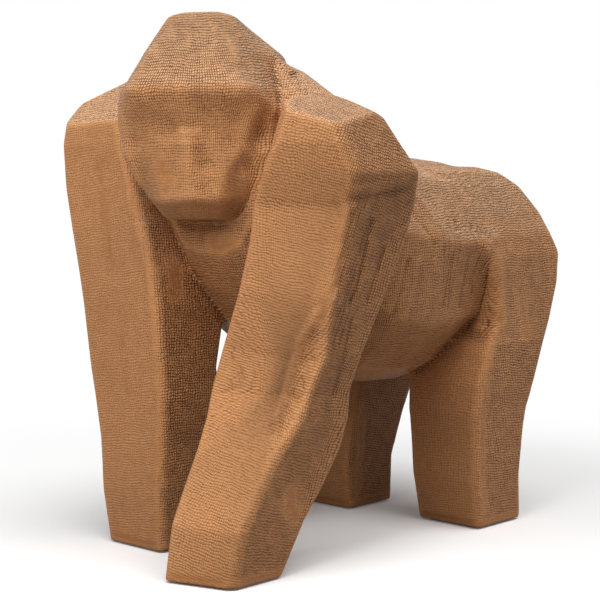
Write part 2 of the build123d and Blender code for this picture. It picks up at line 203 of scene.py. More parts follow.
# How worn the limbs' fronts are, and how furrowed the torso's sides are
WEAR = {"left_arm": 0.2, "right_arm": 0.6, "leg": 0.45}
FLANK_FURROWS = 0.25
# How far a point stands out of or below its neighbours, in millimetres, on a full edge or crease
EDGE_RISE = 0.07
CREASE_DEPTH = 0.09
EDGE_ROUNDS = 4

# The resin's noises, each as its scale for a metre, its detail and its roughness
NOISES = {
    "drift": (45.0, 1.0, 0.5), "waver": (210.0, 1.0, 0.5), "press": (150.0, 3.0, 0.6),
    "ragged": (300.0, 3.0, 0.6), "fuzz": (620.0, 2.0, 0.6), "knobs": (430.0, 1.0, 0.5),
    "grain": (1700.0, 2.0, 0.7), "furrows": (1.0, 2.0, 0.4), "tone": (14.0, 3.0, 0.55),
}
# How far the threads wander, in millimetres, with each noise that leads them
SWAYS = {"drift": 3.4, "waver": 2.0}
# Where each of the resin's sums turns from 0 to 1
EASES = {
    "knit": (0.05, 0.8), "press": (0.3, 0.62), "worn": (0.3, 1.2), "furrow_line": (0.0, 0.022),
    "furrow": (0.2, 0.9), "pinhole": (0.07, 0.17), "pinhole_chosen": (0.78, 0.8),
    "pit": (0.4, 1.0), "threads": (0.0455, 0.6364), "dark": (0.0, 1.25), "edge": (0.1, 0.9),
    "bloom": (0.2, 0.9), "tone": (0.25, 0.75),
}
# How high or deep each kind of roughness is, as a share of the gauze's relief
HEIGHTS = {"fuzz": 1.1, "bare_fuzz": 0.15, "grain": 0.35, "knobs": 4.5, "furrow": 0.8, "pinhole": 0.9}
# How much each of them darkens the colour, and the darkening that lies all over
# The darkening of pits, furrows, pinholes and creases is painted shade
DARKS = {
    "pit": 0.95, "furrow": 0.4, "pinhole": 0.7, "crease": 0.6, "fuzz": 1.3, "grain": 0.9, "all": 0.05,
}
# How often furrows come across and along the cloth, and pinholes in any direction, for a metre
FURROW_SCALE = (95.0, 9.0, 0.0)
PINHOLE_SCALE = 330.0
# How ragged the edges of worn patches and furrows are
WORN_RAGGED = 1.2
FURROW_RAGGED = 0.48
# How much of the imprint goes where the gauze pressed least, and where it is worn
PRESS_LOSS = 0.3
WEAR_LOSS = 0.85
# How much of the fine darkening and of the pinholes stays where there is no imprint or wear
PLAIN_FUZZ = 0.2
PLAIN_HOLES = 0.3
# How far the painted highlight on edges and the painted sheen change the colour, and how far its tone
# wanders
EDGE_HIGHLIGHT = 0.5
EDGE_HIGHLIGHT_TINT = 1.05
PAINTED_SHEEN_SHARE = 0.5
TONE_SPREAD = 0.16
RESIN_GLOSS = {
    "Roughness": 0.5, "Specular IOR Level": 0.16, "Sheen Weight": 0.03, "Sheen Roughness": 0.35,
}

# The small parts' finishes: a word in their nodes' names, then the material's name, colour,
# roughness and metallic, its grain's scale and depth, and how far its colour varies
FINISHES = (
    ("pad", "felt", (0.05, 0.045, 0.04), 0.95, 0.0, 900.0, 0.3 * MM, 0.35),
    ("dowel", "dowel_steel", (0.55, 0.55, 0.56), 0.35, 1.0, 400.0, 0.02 * MM, 0.06),
    ("plug", "plug_plastic", (0.03, 0.028, 0.026), 0.5, 0.0, 300.0, 0.05 * MM, 0.1),
)
# How detailed their grain is, and how far their roughness varies with it
GRAIN_DETAIL = 4.0
GRAIN_GLOSS = 0.2

# The stage, in metres, with the lamps' azimuths, heights and spread in degrees
CAMERA_CLIP = (0.01, 50.0)
FLOOR_REACH = 6.0
FLOOR_WHITENS = (0.18, 0.5)
PAPER = (0.98, 0.98, 0.98, 1.0)
PAPER_GLOW = 0.07
BOX_SIZE = 0.42
BOX_AIM = (12.0, 35.0)
TOP_SPREAD = 48.0
TOP_AIM = (88.0, 69.0)
LIT_PLACE = (0.0, -0.03, 0.2)
LAMP_DISTANCE = 0.62


# Settings that a user would change


class SkinSettings(bpy.types.PropertyGroup):
    """Sizes and colours of the cast skin"""

    mesh_size: FloatProperty(
        name="Mesh Size", description="Edge length of the skin's mesh",
        default=1.3 * MM, unit="LENGTH", precision=5,
    )
    edge_passes: IntProperty(
        name="Edge Passes", description="Rounds of smoothing that soften the limbs' edges",
        default=3, min=0, max=40,
    )
    soft_passes: IntProperty(
        name="Soft Passes", description="Rounds of smoothing that soften the head and the torso",
        default=8, min=0, max=40,
    )
    row_pitch: FloatProperty(
        name="Row Pitch", description="Distance between two rows of the gauze",
        default=1.5 * MM, unit="LENGTH", precision=5,
    )
    wale_pitch: FloatProperty(
        name="Wale Pitch", description="Distance between two wales of the gauze",
        default=1.6 * MM, unit="LENGTH", precision=5,
    )
    relief: FloatProperty(
        name="Relief", description="Depth of the gauze's imprint",
        default=0.7 * MM, unit="LENGTH", precision=5,
    )
    # The thread colour is painted light: the raised threads of the imprint are painted paler than the
    # bare resin
    thread: FloatVectorProperty(
        name="Thread", description="Colour of the raised threads",
        default=(0.74, 0.35, 0.146), subtype="COLOR", size=3,
    )
    # The hollow colour is painted shade, towards which the pits, furrows, pinholes and creases are
    # darkened
    hollow: FloatVectorProperty(
        name="Hollow", description="Colour of the pits between the threads",
        default=(0.15, 0.052, 0.015), subtype="COLOR", size=3,
    )
    bare: FloatVectorProperty(
        name="Bare Resin", description="Colour of the resin where no gauze marked it",
        default=(0.43, 0.178, 0.06), subtype="COLOR", size=3,
    )
    # A painted sheen: this paler colour lies on the threads of upper faces
    bloom: FloatVectorProperty(
        name="Painted Sheen", description="Paler colour that rests on the threads of upper faces",
        default=(0.74, 0.56, 0.38), subtype="COLOR", size=3,
    )


class StageSettings(bpy.types.PropertyGroup):
    """Floor, lamps and camera"""

    camera_place: FloatVectorProperty(
        name="Camera Place", description="Where the camera stands",
        default=(0.6026, -0.6612, 0.208), subtype="XYZ", unit="LENGTH", size=3,
    )
    camera_turn: FloatVectorProperty(
        name="Camera Turn", description="How the camera is turned",
        default=(radians(85.5), 0.0, radians(43.0)), subtype="EULER", size=3,
    )
    camera_lens: FloatProperty(
        name="Focal Length", description="Focal length on a sensor 36 mm wide",
        default=91.1, unit="CAMERA",
    )
    floor_colour: FloatVectorProperty(
        name="Floor Colour", description="Colour of the floor as its light falls on the figurine",
        default=(0.36, 0.34, 0.325), subtype="COLOR", size=3,
    )
    key_level: FloatProperty(
        name="Key Level", description="Strength of the soft box in front",
        default=2.7,
    )
    top_level: FloatProperty(
        name="Top Level", description="Strength of the soft light from above",
        default=2.05,
    )
    sky_level: FloatProperty(
        name="Sky Level", description="Strength of the even light all round",
        default=0.115,
    )


# Shader sums


class Value:
    """A node's output that can be used in a Python expression."""

    def __init__(self, tree, socket):
        self.tree = tree
        self.socket = socket

    def node(self, kind, settings, inputs, output=0):
        """Adds a node of any type: its settings first, then its sockets' values or links."""
        made = self.tree.nodes.new(kind)
        for name, setting in settings.items():
            setattr(made, name, setting)
        for name, given in inputs.items():
            if isinstance(given, Value):
                self.tree.links.new(given.socket, made.inputs[name])
            else:
                made.inputs[name].default_value = given
        return Value(self.tree, made.outputs[output] if len(made.outputs) else None)

    def other(self, output):
        """Another output of the node that this value comes from."""
        return Value(self.tree, self.socket.node.outputs[output])

    def math(self, operation, *values):
        """Adds a Math node on this value and others."""
        inputs = dict(enumerate((self, *values)))
        return self.node("ShaderNodeMath", {"operation": operation}, inputs)

    def ease(self, low, high):
        """0 below low, 1 above high, smooth between."""
        return self.node(
            "ShaderNodeMapRange", {"interpolation_type": "SMOOTHSTEP"},
            {"Value": self, "From Min": low, "From Max": high},
        )

    def __add__(self, other):
        return self.math("ADD", other)

    __radd__ = __add__

    def __sub__(self, other):
        return self.math("SUBTRACT", other)

    def __rsub__(self, other):
        return (self * -1.0) + other

    def __mul__(self, other):
        return self.math("MULTIPLY", other)

    __rmul__ = __mul__


def new_material(name):
    """A material with an empty node tree, and a value to start its sums from."""
    material = bpy.data.materials.new(name)
    material.use_nodes = True
    tree = material.node_tree
    tree.nodes.clear()
    return material, Value(tree, None)


def close_material(start, shader):
    """Sends a shader to the material's output."""
    start.node("ShaderNodeOutputMaterial", {}, {"Surface": shader})


def mix_colour(start, factor, low, high, blend="MIX"):
    """Two colours mixed by a factor."""
    settings = {"data_type": "RGBA", "blend_type": blend}
    return start.node("ShaderNodeMix", settings, {0: factor, 6: low, 7: high}, output=2)


def mix_shader(start, factor, low, high):
    """Two shaders mixed by a factor."""
    return start.node("ShaderNodeMixShader", {}, {0: factor, 1: low, 2: high})


def rgba(colour, level=1.0):
    """A colour setting as four numbers."""
    return (colour[0] * level, colour[1] * level, colour[2] * level, 1.0)


# Materials


def noise(where, name):
    """One of the resin's noises, which lies round 0.5."""
    scale, detail, rough = NOISES[name]
    return where.node(
        "ShaderNodeTexNoise", {},
        {"Vector": where, "Scale": scale, "Detail": detail, "Roughness": rough},
    )


def gauze(place, cloth, masks, skin):
    """The threads of the gauze: 1 on them, and 0 in the pits between them."""
    across = place.node("ShaderNodeSeparateXYZ", {}, {0: cloth})
    along = across.other(1)
    flat_x = place.node("ShaderNodeSeparateXYZ", {}, {0: place})
    flat_y = flat_x.other(1)

    # The cloth wanders: slow drifts and a quick waver
    drift, waver = ((noise(place, name) - 0.5) * sway for name, sway in SWAYS.items())
    wander = (drift + waver) * MM
    top, grid = masks["top"], masks["grid"]

    def wave(side, flat, pitch):
        beside = ((side + wander) * (2 * pi / pitch)).math("SINE")
        above = ((flat + wander) * (2 * pi / pitch)).math("SINE")
        return (beside * (1 - top) + above * top) * 0.5 + 0.5

    row = wave(along, flat_y, skin.row_pitch)
    wale = wave(across, flat_x, skin.wale_pitch)
    line = row * (1 - grid) + wale * grid
    both = 1 - (grid * 2 - 1).math("ABSOLUTE")
    dots = (row * wale).math("POWER", 0.5)
    return (line * (1 - both) + dots * both).ease(*EASES["knit"])


def furrows(cloth, uneven, masks):
    """Long furrows that run with the wales, as the level lines of a stretched noise."""
    stretched = cloth.node(
        "ShaderNodeVectorMath", {"operation": "MULTIPLY"}, {0: cloth, 1: FURROW_SCALE}
    )
    beside = (noise(stretched, "furrows") - 0.5).math("ABSOLUTE").ease(*EASES["furrow_line"])
    return (1 - beside) * (masks["furrow"] + uneven * FURROW_RAGGED).ease(*EASES["furrow"])


def pinholes(place, worn):
    """Holes that bubbles left, most of them where the imprint is worn."""
    gap = place.node("ShaderNodeTexVoronoi", {}, {"Vector": place, "Scale": PINHOLE_SCALE})
    chosen = place.node("ShaderNodeSeparateColor", {}, {0: gap.other(1)})
    hole = (1 - gap.ease(*EASES["pinhole"])) * chosen.ease(*EASES["pinhole_chosen"])
    return hole * (worn * (1 - PLAIN_HOLES) + PLAIN_HOLES)


def resin_material(skin):
    """Matte cast resin with the imprint of a knitted gauze."""
    _, start = new_material(RESIN)
    place = start.node("ShaderNodeTexCoord", {}, {}, output="Object")
    cloth = start.node("ShaderNodeUVMap", {"uv_map": CLOTH}, {})
    masks = {
        name: start.node("ShaderNodeAttribute", {"attribute_name": name}, {}, output="Fac")
        for name in MASKS
    }

    # The gauze, which pressed unevenly, worn patches, and what else roughens the surface
    knit = gauze(place, cloth, masks, skin)
    press = noise(place, "press").ease(*EASES["press"])
    uneven = noise(place, "ragged") - 0.5
    worn = (masks["worn"] + uneven * WORN_RAGGED).ease(*EASES["worn"])
    imprint = masks["imprint"] * (press * PRESS_LOSS + (1 - PRESS_LOSS)) * (1 - worn * WEAR_LOSS)
    fuzz, knobs, grain = (noise(place, name) - 0.5 for name in ("fuzz", "knobs", "grain"))
    furrow = furrows(cloth, uneven, masks)
    pinhole = pinholes(place, worn)
    height = (
        knit * imprint + fuzz * (imprint * HEIGHTS["fuzz"] + HEIGHTS["bare_fuzz"])
        + grain * HEIGHTS["grain"] + knobs * masks["knob"] * HEIGHTS["knobs"]
        - furrow * HEIGHTS["furrow"] - pinhole * HEIGHTS["pinhole"]
    )

    # Painted light and shade: threads paler than bare resin, hollows darker, a highlight on edges and
    # a sheen on upper faces
    threads = imprint.ease(*EASES["threads"])
    colour = mix_colour(start, threads, rgba(skin.bare), rgba(skin.thread))
    pit = (1 - knit).ease(*EASES["pit"]) * imprint
    fine = fuzz * (imprint * (1 - PLAIN_FUZZ) + PLAIN_FUZZ)
    # Painted shade in the pits, furrows, pinholes and creases, with the fuzz and grain varying it at
    # random
    dark = (
        pit * DARKS["pit"] + furrow * DARKS["furrow"] + pinhole * DARKS["pinhole"]
        + masks["crease"] * DARKS["crease"] - fine * DARKS["fuzz"]
        - grain * DARKS["grain"] + DARKS["all"]
    )
    colour = mix_colour(start, dark.ease(*EASES["dark"]), colour, rgba(skin.hollow))
    # Painted highlight: convex edges are lightened towards the thread colour, unevenly with the press
    # noise
    edge_highlight = masks["edge"].ease(*EASES["edge"]) * (press + 1) * (EDGE_HIGHLIGHT / 2)
    colour = mix_colour(start, edge_highlight, colour, rgba(skin.thread, EDGE_HIGHLIGHT_TINT))
    # Painted sheen: the threads of upward faces are lightened towards a pale colour
    painted_sheen_share = masks["bloom"] * knit.ease(*EASES["bloom"]) * PAINTED_SHEEN_SHARE
    colour = mix_colour(start, painted_sheen_share, colour, rgba(skin.bloom))
    shade = noise(place, "tone").ease(*EASES["tone"]) * TONE_SPREAD + (1 - TONE_SPREAD / 2)
    grey = start.node("ShaderNodeCombineColor", {}, {0: shade, 1: shade, 2: shade})
    colour = mix_colour(start, 1.0, colour, grey, "MULTIPLY")

    bump = start.node(
        "ShaderNodeBump", {}, {"Strength": 1.0, "Distance": skin.relief, "Height": height}
    )
    inputs = {"Base Color": colour, "Normal": bump, **RESIN_GLOSS}
    close_material(start, start.node("ShaderNodeBsdfPrincipled", {}, inputs))


def plain_material(name, colour, roughness, metallic, grain_scale, grain_depth, spread):
    """A small part's finish: a colour that varies a little, with a fine grain."""
    material, start = new_material(name)
    place = start.node("ShaderNodeTexCoord", {}, {}, output="Object")
    grain = start.node(
        "ShaderNodeTexNoise", {},
        {"Vector": place, "Scale": grain_scale, "Detail": GRAIN_DETAIL},
    )
    tint = mix_colour(start, grain, rgba(colour, 1 - spread), rgba(colour, 1 + spread))
    bump = start.node("ShaderNodeBump", {}, {"Distance": grain_depth, "Height": grain})
    inputs = {
        "Base Color": tint, "Roughness": (grain - 0.5) * GRAIN_GLOSS + roughness,
        "Metallic": metallic, "Normal": bump,
    }
    close_material(start, start.node("ShaderNodeBsdfPrincipled", {}, inputs))
    return material


# Mesh helpers


def new_object(name, mesh):
    """A mesh object at the origin, in the scene."""
    made = bpy.data.objects.new(name, mesh)
    bpy.context.scene.collection.objects.link(made)
    return made


def mesh_from(shape, name):
    """Ends a bmesh and gives its mesh."""
    mesh = bpy.data.meshes.new(name)
    shape.to_mesh(mesh)
    shape.free()
    return mesh


def settle(thing):
    """Applies an object's modifiers to its mesh."""
    view = bpy.context.evaluated_depsgraph_get()
    mesh = bpy.data.meshes.new_from_object(thing.evaluated_get(view))
    thing.modifiers.clear()
    old, thing.data = thing.data, mesh
    bpy.data.meshes.remove(old)


def drop(thing):
    """Removes an object and its mesh."""
    mesh = thing.data
    bpy.data.objects.remove(thing)
    bpy.data.meshes.remove(mesh)


def carve(thing, cutter, operation):
    """Cuts an object by another, and leaves the other in place."""
    step = thing.modifiers.new("carve", "BOOLEAN")
    step.solver = "MANIFOLD"
    step.operation = operation
    step.object = cutter
    settle(thing)


def block(name, low, high):
    """A box between two corners, in millimetres."""
    shape = bmesh.new()
    bmesh.ops.create_cube(shape, size=1.0)
    size = Vector(high) - Vector(low)
    bmesh.ops.scale(shape, vec=size * MM, verts=shape.verts)
    bmesh.ops.translate(shape, vec=(Vector(low) + size / 2) * MM, verts=shape.verts)
    return new_object(name, mesh_from(shape, name))


def hull_of(node, name, growth):
    """The convex hull of a node, grown outwards by a distance in millimetres."""
    shape = bmesh.new()
    shape.from_mesh(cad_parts[node].data)
    bmesh.ops.remove_doubles(shape, verts=shape.verts, dist=WELD * MM)
    made = bmesh.ops.convex_hull(shape, input=shape.verts)
    inside = {e for e in made["geom_interior"] if isinstance(e, bmesh.types.BMVert)}
    bmesh.ops.delete(shape, geom=list(inside), context="VERTS")
    kept = {f for f in made["geom"] if isinstance(f, bmesh.types.BMFace) and f.is_valid}
    spare = [f for f in shape.faces if f not in kept]
    bmesh.ops.delete(shape, geom=spare, context="FACES_ONLY")
    bmesh.ops.recalc_face_normals(shape, faces=shape.faces)
    shape.normal_update()
    moves = [(v, v.normal * growth * MM) for v in shape.verts]
    for vert, move in moves:
        vert.co += move
    return new_object(name, mesh_from(shape, name))


def points_of(mesh, field="co"):
    """A mesh's points, or another vector of theirs, as an array."""
    values = np.empty(len(mesh.vertices) * 3)
    mesh.vertices.foreach_get(field, values)
    return values.reshape(-1, 3)


def ease(value, low, high):
    """0 below low, 1 above high, smooth between."""
    t = np.clip((value - low) / (high - low), 0, 1)
    return t * t * (3 - 2 * t)


# Marks that the photograph shows


class Sight:
    """Finds the places on the castings that show at pixels of the photograph."""

    def __init__(self, stage):
        shape = bmesh.new()
        for node in CASTINGS:
            shape.from_mesh(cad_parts[node].data)
        self.surface = BVHTree.FromBMesh(shape)
        shape.free()
        self.eye = Vector(stage.camera_place)
        self.turn = Euler(stage.camera_turn).to_matrix()
        self.focal = stage.camera_lens / SENSOR * PHOTO_SIZE

    def line(self, pixels):
        """The places, in millimetres, behind a line of pixels."""
        places = []
        for x, y in pixels:
            way = Vector(((x - PHOTO_SIZE / 2) / self.focal, (PHOTO_SIZE / 2 - y) / self.focal, -1.0))
            hit = self.surface.ray_cast(self.eye, self.turn @ way.normalized())[0]
            if hit is None:
                raise RuntimeError(f"nothing of the figurine shows at pixel {x}, {y}")
            places.append(np.array(hit) / MM)
        return places


def gap_to(places, line):
    """How far each place lies from a line of places."""
    best = np.full(len(places), np.inf)
    for start, end in zip(line[:-1], line[1:]):
        run = end - start
        share = np.clip((places - start) @ run / (run @ run), 0, 1)
        best = np.minimum(best, np.linalg.norm(places - start - share[:, None] * run, axis=1))
    return best


def near(places, line, reach):
    """1 on a line of places, falling to 0 beyond a reach."""
    return np.exp(-((gap_to(places, line) / reach) ** 2))


def marked(places, marks, sight):
    """The strongest of some marks at each place."""
    total = np.zeros(len(places))
    for strength, reach, pixels in marks:
        total = np.maximum(total, strength * near(places, sight.line(pixels), reach))
    return total


# The skin


def on_head(places):
    """Which places lie on the head, in its own turned frame."""
    out = places - HEAD_MIDDLE
    left = out @ np.array((np.cos(HEAD_TURN), np.sin(HEAD_TURN), 0.0))
    ahead = out @ np.array((np.sin(HEAD_TURN), -np.cos(HEAD_TURN), 0.0))
    beside, depth = HEAD_REACH
    return (np.abs(left) < beside) & (np.abs(ahead) < depth) & (places[:, 2] > HEAD_BASE)


def soften(blank, head, skin, sight):
    """Smooths the limbs' edges a little, the head and torso more, and the brow and eyes most."""
    places = points_of(blank.data) / MM
    rounds = np.full(len(places), skin.edge_passes)
    trunk = (places[:, 1] > TRUNK_FRONT) & (places[:, 2] > TRUNK_BASE)
    trunk &= np.abs(places[:, 0]) < TRUNK_REACH
    rounds[trunk | head] = skin.soft_passes
    band = near(places, sight.line(EYE_BAND), EYE_REACH)
    rounds[head & (band > EYE_SHARE)] = skin.soft_passes * EYE_TIMES
    shape = bmesh.new()
    shape.from_mesh(blank.data)
    verts = np.array(shape.verts, dtype=object)
    for turn in range(rounds.max()):
        bmesh.ops.smooth_vert(
            shape, verts=list(verts[rounds > turn]), factor=0.5,
            use_axis_x=True, use_axis_y=True, use_axis_z=True,
        )
    shape.to_mesh(blank.data)
    shape.free()


def fold(blank, head, sight):
    """Raises and sinks the skin along the folds of the head and of the body."""
    places = points_of(blank.data) / MM
    normals = points_of(blank.data, "normal")
    rise = np.zeros(len(places))
    for folds, here in ((HEAD_FOLDS, head), (BODY_FOLDS, ~head)):
        for height, reach, pixels in folds:
            rise += height * near(places, sight.line(pixels), reach) * here
    places += normals * rise[:, None]
    blank.data.vertices.foreach_set("co", (places * MM).ravel())
    blank.data.update()


class FIGURINE_OT_skin(bpy.types.Operator):
    """Makes the whole skin as one closed surface, before it is cut at the joints"""

    bl_idname = "figurine.skin"
    bl_label = "Whole Skin"

    def execute(self, context):
        skin = context.scene.figurine_skin
        sight = Sight(context.scene.figurine_stage)
        shape = bmesh.new()
        for node in CASTINGS + ("pour_hole_plug",):
            shape.from_mesh(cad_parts[node].data)
        bmesh.ops.remove_doubles(shape, verts=shape.verts, dist=WELD * MM)
        blank = new_object(BLANK, mesh_from(shape, BLANK))
        step = blank.modifiers.new("remesh", "REMESH")
        step.mode = "VOXEL"
        step.voxel_size = skin.mesh_size
        settle(blank)
        head = on_head(points_of(blank.data) / MM)
        soften(blank, head, skin, sight)
        fold(blank, head, sight)
        return {"FINISHED"}


def lay_cloth(mesh, across, along, loop_length):
    """Gives each corner its cloth coordinates, so that no face spans the cloth's seam."""
    corners = np.empty(len(mesh.loops), dtype=np.int32)
    mesh.loops.foreach_get("vertex_index", corners)
    starts = np.empty(len(mesh.polygons), dtype=np.int32)
    mesh.polygons.foreach_get("loop_start", starts)
    totals = np.empty(len(mesh.polygons), dtype=np.int32)
    mesh.polygons.foreach_get("loop_total", totals)
    u = across[corners]
    first = np.repeat(u[starts], totals)
    u = u - np.round((u - first) / loop_length) * loop_length
    cloth = mesh.uv_layers.new(name=CLOTH)
    cloth.data.foreach_set("uv", np.stack([u, along[corners]], 1).ravel() * MM)


def edges_of(mesh, places, normals):
    """How far each point stands out as an edge, and how far it lies in a crease, each 0 to 1."""
    count = len(mesh.edges)
    ends = np.empty(count * 2, dtype=np.int32)
    mesh.edges.foreach_get("vertices", ends)
    ends = ends.reshape(-1, 2)
    beside = np.bincount(ends.ravel(), minlength=len(places)).astype(float)

    def spread(field):
        total = np.zeros_like(field)
        np.add.at(total, ends[:, 0], field[ends[:, 1]])
        np.add.at(total, ends[:, 1], field[ends[:, 0]])
        return total / (beside[:, None] if field.ndim > 1 else beside)

    lean = ((places - spread(places)) * normals).sum(1)
    for _ in range(EDGE_ROUNDS):
        lean = 0.5 * lean + 0.5 * spread(lean)
    return np.clip(lean / EDGE_RISE, 0, 1), np.clip(-lean / CREASE_DEPTH, 0, 1)


def finish_piece(piece, node, chart, masks, sight):
    """Gives a piece of skin its cloth coordinates, masks, material and body."""
    mesh = piece.data
    mesh.name = piece.name
    mesh.materials.clear()
    mesh.materials.append(bpy.data.materials[RESIN])
    mesh.shade_smooth()
    places, normals = points_of(mesh) / MM, points_of(mesh, "normal")
    lay_cloth(mesh, *chart(places))

    up = normals[:, 2]
    # The painted sheen's mask: faces that lean upwards, fading in between two levels above the floor
    painted_sheen_share = ease(up, *LEANS["bloom"]) * ease(places[:, 2], *PAINTED_SHEEN_LEVELS)
    values = {"top": ease(np.abs(up), *LEANS["top"]), "bloom": painted_sheen_share}
    values.update(dict.fromkeys(("knob", "worn", "furrow"), 0.0))
    values.update(masks(places, normals))
    values["worn"] = np.maximum(values["worn"], marked(places, WORN, sight))
    values["furrow"] = np.maximum(values["furrow"], marked(places, FURROWED, sight))
    # The edge mask lightens the colour as a painted highlight, and the crease mask darkens it as
    # painted shade
    values["edge"], values["crease"] = edges_of(mesh, places, normals)
    for name in MASKS:
        layer = mesh.attributes.new(name, "FLOAT", "POINT")
        layer.data.foreach_set("value", np.broadcast_to(values[name], len(places)).astype(np.float32))
    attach(piece, BODY)
    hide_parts(node)


def bored(piece, word):
    """Opens the bores for the dowels whose names hold a word."""
    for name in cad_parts:
        if "dowel" in name and word in name:
            cutter = hull_of(name, "bore", BORE_CLEARANCE)
            carve(piece, cutter, "DIFFERENCE")
            drop(cutter)


def take_piece(name, space, joint, chart, masks, sight):
    """Cuts a space out of the skin, and makes a finished piece of what was in it."""
    blank = bpy.data.objects[BLANK]
    piece = new_object(f"{name}_skin", blank.data.copy())
    carve(piece, space, "INTERSECT")
    carve(blank, space, "DIFFERENCE")
    drop(space)
    bored(piece, joint)
    finish_piece(piece, f"{name}_casting", chart, masks, sight)


def box_chart(foot, head, half_width, half_depth, turn=0.0):
    """Cloth coordinates round a limb: along its axis, and round the outline of its section."""
    foot, head = np.array(foot, float), np.array(head, float)
    axis = (head - foot) / np.linalg.norm(head - foot)
    left = np.array((np.cos(turn), np.sin(turn), 0.0))
    left = left - axis * (left @ axis)
    left /= np.linalg.norm(left)
    back = np.cross(axis, left)
    length = 4 * (half_width + half_depth)
    least_reach = 0.05

    def chart(places):
        out = places - foot
        x, y, along = out @ left, out @ back, out @ axis
        reach = np.maximum(np.abs(x) / half_width, np.abs(y) / half_depth)
        reach = np.maximum(reach, least_reach)
        x, y = x / reach, y / reach
        in_depth = np.abs(y) / half_depth >= np.abs(x) / half_width
        on_rear = length / 2 - x
        on_side = np.where(x > 0, length / 4 + y, -length / 4 - y)
        across = np.where(in_depth, np.where(y < 0, x, on_rear), on_side)
        return across, along, length

    return chart


def head_masks(places, normals):
    """The masks of the head: a finer grid on the face, and a deep imprint above the brow."""
    brow = ease(places[:, 2], *BROW_LEVELS)
    return {
        "grid": GRIDS["face"] - GRIDS["brow_less"] * brow,
        "imprint": IMPRINTS["face"] + IMPRINTS["brow_more"] * brow,
        "top": ease(normals[:, 2], *LEANS["head_top"]),
    }


def limb_masks(side, worn):
    """The masks of an arm or a leg: rows in front, ribs inside, a bare band along the floor."""

    def masks(places, normals):
        above_foot = ease(places[:, 2], *FOOT_LEVELS)
        outward = ease(side * normals[:, 0], *LEANS["side"])
        inward = ease(-side * normals[:, 0], *LEANS["side"])
        front = ease(-normals[:, 1], *LEANS["front"])
        imprint = IMPRINTS["foot"] + (1.0 - IMPRINTS["foot"]) * above_foot
        return {
            "grid": GRIDS["limb"] + GRIDS["outward_more"] * outward + GRIDS["inward_more"] * inward,
            "imprint": imprint * (1.0 - IMPRINTS["front_less"] * front),
            "worn": worn * front,
            "knob": ease(normals[:, 2], *LEANS["limb_knob"]),
        }

    return masks


def torso_masks(places, normals):
    """The masks of the torso: knobs on the back and furrows on the flanks."""
    return {
        "grid": GRIDS["torso"], "imprint": IMPRINTS["torso"],
        "knob": ease(normals[:, 2], *LEANS["torso_knob"]),
        "furrow": FLANK_FURROWS * ease(np.abs(normals[:, 0]), *LEANS["flank"]),
    }


class FIGURINE_OT_head(bpy.types.Operator):
    """Cuts the head from the skin"""

    bl_idname = "figurine.head"
    bl_label = "Head"

    def execute(self, context):
        sight = Sight(context.scene.figurine_stage)
        space = hull_of("head_casting", "head_space", HEAD_MARGIN)
        chart = box_chart(HEAD_MIDDLE * (1, 1, 0), HEAD_MIDDLE, *HEAD_SECTION, HEAD_TURN)
        take_piece("head", space, "neck", chart, head_masks, sight)
        return {"FINISHED"}


def arm_space(side):
    """The space of an arm: outside a sloping face and in front of an upright one."""
    low = (0.0, -FAR, ARM_LEVEL - FAR)
    high = (FAR, ARM_REAR, ARM_LEVEL + FAR)
    space = block("arm_space", low, high)
    shear = Matrix.Identity(4)
    shear[0][2] = ARM_LEAN
    mesh = space.data
    mesh.transform(Matrix.Translation((0, 0, -ARM_LEVEL * MM)))
    mesh.transform(shear)
    mesh.transform(Matrix.Translation((ARM_PLACE * MM, 0, ARM_LEVEL * MM)))
    if side < 0:
        mesh.transform(Matrix.Scale(-1, 4, (1, 0, 0)))
        mesh.flip_normals()
    return space


def leg_space(side):
    """The space of a leg: a box beside the middle, behind and below the joint."""
    inner, outer = sorted((side * LEG_PLACE, side * FAR))
    return block("leg_space", (inner, LEG_FRONT, UNDERFOOT), (outer, FAR, LEG_TOP))


class FIGURINE_OT_limbs(bpy.types.Operator):
    """Cuts the arms and legs from the skin"""

    bl_idname = "figurine.limbs"
    bl_label = "Arms and Legs"

    def execute(self, context):
        sight = Sight(context.scene.figurine_stage)
        for name, side in SIDES:
            chart = box_chart(*ARM_AXES[name], *ARM_SECTION)
            masks = limb_masks(side, WEAR[f"{name}_arm"])
            take_piece(f"{name}_arm", arm_space(side), f"{name}_shoulder", chart, masks, sight)
        for name, side in SIDES:
            chart = box_chart(*LEG_AXES[name], *LEG_SECTION)
            masks = limb_masks(side, WEAR["leg"])
            take_piece(f"{name}_leg", leg_space(side), f"{name}_hip", chart, masks, sight)
        return {"FINISHED"}


class FIGURINE_OT_torso(bpy.types.Operator):
    """Makes the torso of what is left of the skin"""

    bl_idname = "figurine.torso"
    bl_label = "Torso"

    def execute(self, context):
        piece = bpy.data.objects[BLANK]
        piece.name = "torso_skin"
        for word in ("neck", "shoulder", "hip"):
            bored(piece, word)
        low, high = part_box("pour_hole_plug")
        middle = (Vector(low) + Vector(high)) / 2
        for radius, height in PLUG_SEATS:
            shape = bmesh.new()
            bmesh.ops.create_cone(
                shape, cap_ends=True, segments=SEAT_SIDES,
                radius1=radius * MM, radius2=radius * MM, depth=height * MM,
            )
            bmesh.ops.translate(shape, vec=(middle.x, middle.y, height / 2 * MM), verts=shape.verts)
            seat = new_object("plug_seat", mesh_from(shape, "plug_seat"))
            carve(piece, seat, "DIFFERENCE")
            drop(seat)
        sight = Sight(context.scene.figurine_stage)
        chart = box_chart(*TORSO_AXIS, *TORSO_SECTION)
        finish_piece(piece, "torso_casting", chart, torso_masks, sight)
        return {"FINISHED"}


